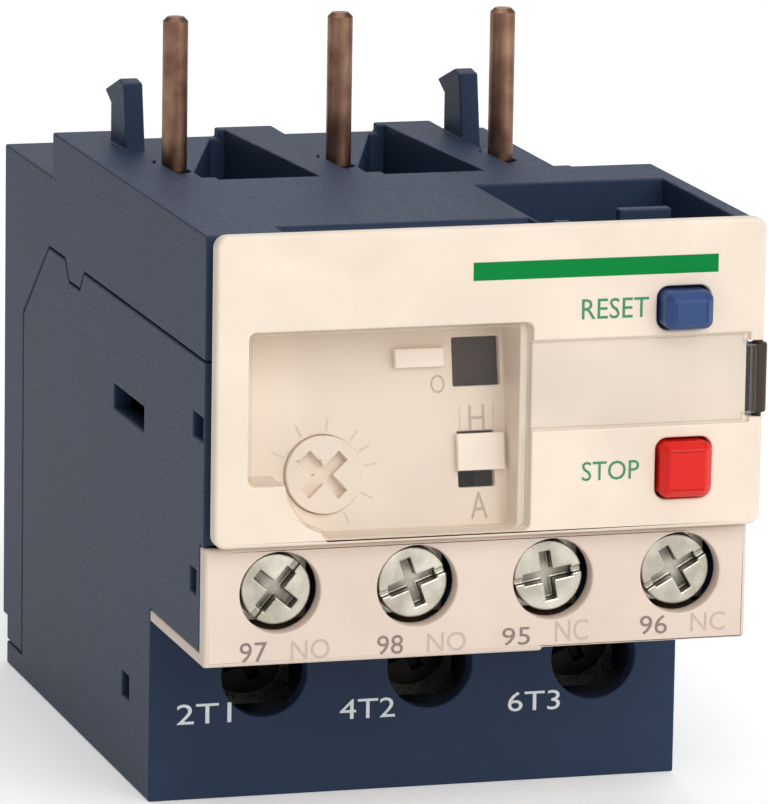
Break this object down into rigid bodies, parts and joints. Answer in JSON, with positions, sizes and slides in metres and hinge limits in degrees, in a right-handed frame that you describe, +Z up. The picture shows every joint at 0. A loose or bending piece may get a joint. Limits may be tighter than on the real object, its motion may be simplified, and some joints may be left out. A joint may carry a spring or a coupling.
{
  "type": "thermal overload relay",
  "caption": "Plug-in thermal overload relay with sunk setting dial under a clear hinged cover, reset and stop buttons, screw terminals and roof pins that plug into a contactor",
  "frame": {"origin": "centre of the underside of the whole part's box", "axes": "+X to the right seen from the front, +Y to the rear away from the buttons, +Z up along the plug pins"},
  "size_m": [0.0459, 0.072, 0.0618],
  "materials": {
    "dark_housing": "moulded polyamide, fine grain",
    "beige_cover": "moulded light grey-beige polycarbonate, satin",
    "clear_plastic": "clear polycarbonate",
    "blue_button": "moulded, semi-gloss",
    "red_button": "moulded, semi-gloss",
    "spring_steel": "drawn wire",
    "white_control": "moulded, satin",
    "natural_nylon": "natural polyamide",
    "brown_flag": "moulded, satin",
    "nickel_plate": "nickel-plated steel, satin",
    "dark_steel": "black-oxidised steel",
    "contact_brass": "stamped brass",
    "bimetal": "rolled bimetal strip",
    "glass_fibre": "woven glass sleeve",
    "heater_wire": "resistance ribbon",
    "pin_copper": "drawn copper, dull",
    "silver_contact": "silver-plated strip"
  },
  "bodies": {
    "housing": {"upper_housing": "dark_housing", "lower_housing": "dark_housing", "front_cover": "beige_cover", "terminal_cover": "beige_cover", "reset_spring": "spring_steel", "stop_spring": "spring_steel", "clamp_washers": "nickel_plate", "mechanism_frame": "dark_housing", "trip_lever_pin": "spring_steel", "terminal_plate_97": "contact_brass", "terminal_plate_98": "contact_brass", "terminal_plate_95": "contact_brass", "terminal_plate_96": "contact_brass", "terminal_cage_1": "nickel_plate", "load_bar_1": "contact_brass", "bimetal_strip_1": "bimetal", "heater_sleeve_1": "glass_fibre", "heater_coil_1": "heater_wire", "plug_pin_1": "pin_copper", "terminal_cage_2": "nickel_plate", "load_bar_2": "contact_brass", "bimetal_strip_2": "bimetal", "heater_sleeve_2": "glass_fibre", "heater_coil_2": "heater_wire", "plug_pin_2": "pin_copper", "terminal_cage_3": "nickel_plate", "load_bar_3": "contact_brass", "bimetal_strip_3": "bimetal", "heater_sleeve_3": "glass_fibre", "heater_coil_3": "heater_wire", "plug_pin_3": "pin_copper"},
    "reset": {"reset_button": "blue_button"},
    "stop": {"stop_button": "red_button"},
    "dial": {"setting_dial": "beige_cover", "dial_cam": "natural_nylon"},
    "test": {"test_lever": "white_control"},
    "selector": {"mode_selector": "white_control"},
    "cover": {"clear_cover": "clear_plastic", "cover_hinge": "brown_flag"},
    "sliders": {"main_slider": "natural_nylon", "differential_slider": "natural_nylon", "differential_lever": "natural_nylon"},
    "crank": {"trip_lever": "natural_nylon", "compensation_strip": "bimetal"},
    "carrier": {"contact_carrier": "natural_nylon", "no_bridge": "silver_contact", "nc_bridge": "silver_contact"},
    "flag": {"trip_flag": "brown_flag"},
    "screw_97": {"control_screw_97": "nickel_plate"},
    "screw_98": {"control_screw_98": "nickel_plate"},
    "screw_95": {"control_screw_95": "nickel_plate"},
    "screw_96": {"control_screw_96": "nickel_plate"},
    "power_1": {"power_screw_1": "dark_steel"},
    "power_2": {"power_screw_2": "dark_steel"},
    "power_3": {"power_screw_3": "dark_steel"}
  },
  "joints": [
    {"name": "reset_push", "type": "slide", "parent": "housing", "child": "reset", "axis": [0, 1, 0], "range_m": [0, 0.0018], "stiffness_N_per_m": 800, "springref_m": -0.002, "deforming": ["reset_spring"]},
    {"name": "stop_push", "type": "slide", "parent": "housing", "child": "stop", "axis": [0, 1, 0], "range_m": [0, 0.0015], "stiffness_N_per_m": 800, "springref_m": -0.002, "deforming": ["stop_spring"]},
    {"name": "dial_turn", "type": "hinge", "parent": "housing", "child": "dial", "pos_m": [-0.0124, -0.03002, 0.02993], "axis": [0, -0.9848, 0.1736], "range_deg": [-110, 110]},
    {"name": "test_slide", "type": "slide", "parent": "housing", "child": "test", "axis": [-1, 0, 0], "range_m": [0, 0.002], "stiffness_N_per_m": 250, "springref_m": -0.001},
    {"name": "selector_slide", "type": "slide", "parent": "housing", "child": "selector", "axis": [0, -0.1736, -0.9848], "range_m": [0, 0.00135]},
    {"name": "cover_hinge", "type": "hinge", "parent": "housing", "child": "cover", "pos_m": [0.0226, -0.0332, 0.037], "axis": [0, 0, 1], "range_deg": [0, 110]},
    {"name": "overload_slide", "type": "slide", "parent": "housing", "child": "sliders", "axis": [1, 0, 0], "range_m": [0, 0.0015], "stiffness_N_per_m": 300},
    {"name": "crank_turn", "type": "hinge", "parent": "housing", "child": "crank", "pos_m": [-0.002, -0.0211, 0.032], "axis": [0, 0, 1], "range_deg": [-7.2, 0]},
    {"name": "carrier_slide", "type": "slide", "parent": "housing", "child": "carrier", "axis": [0, 1, 0], "range_m": [0, 0.0012]},
    {"name": "flag_slide", "type": "slide", "parent": "housing", "child": "flag", "axis": [0, 0.1736, 0.9848], "range_m": [0, 0.0036]},
    {"name": "screw_97_turn", "type": "hinge", "parent": "housing", "child": "screw_97", "pos_m": [-0.01633, -0.0308, 0.021], "axis": [0, -1, 0], "continuous": true},
    {"name": "screw_98_turn", "type": "hinge", "parent": "housing", "child": "screw_98", "pos_m": [-0.00505, -0.0308, 0.021], "axis": [0, -1, 0], "continuous": true},
    {"name": "screw_95_turn", "type": "hinge", "parent": "housing", "child": "screw_95", "pos_m": [0.00623, -0.0308, 0.021], "axis": [0, -1, 0], "continuous": true},
    {"name": "screw_96_turn", "type": "hinge", "parent": "housing", "child": "screw_96", "pos_m": [0.0169, -0.0308, 0.021], "axis": [0, -1, 0], "continuous": true},
    {"name": "power_1_turn", "type": "hinge", "parent": "housing", "child": "power_1", "pos_m": [-0.01284, -0.012, 0.01025], "axis": [0, -1, 0], "continuous": true},
    {"name": "power_2_turn", "type": "hinge", "parent": "housing", "child": "power_2", "pos_m": [0.00124, -0.012, 0.01025], "axis": [0, -1, 0], "continuous": true},
    {"name": "power_3_turn", "type": "hinge", "parent": "housing", "child": "power_3", "pos_m": [0.01532, -0.012, 0.01025], "axis": [0, -1, 0], "continuous": true}
  ],
  "couplings": [
    {"joint": "crank_turn", "follows": "overload_slide", "rad_per_m": -82.2},
    {"joint": "carrier_slide", "follows": "overload_slide", "ratio": 0.8},
    {"joint": "flag_slide", "follows": "overload_slide", "ratio": 2.4}
  ]
}
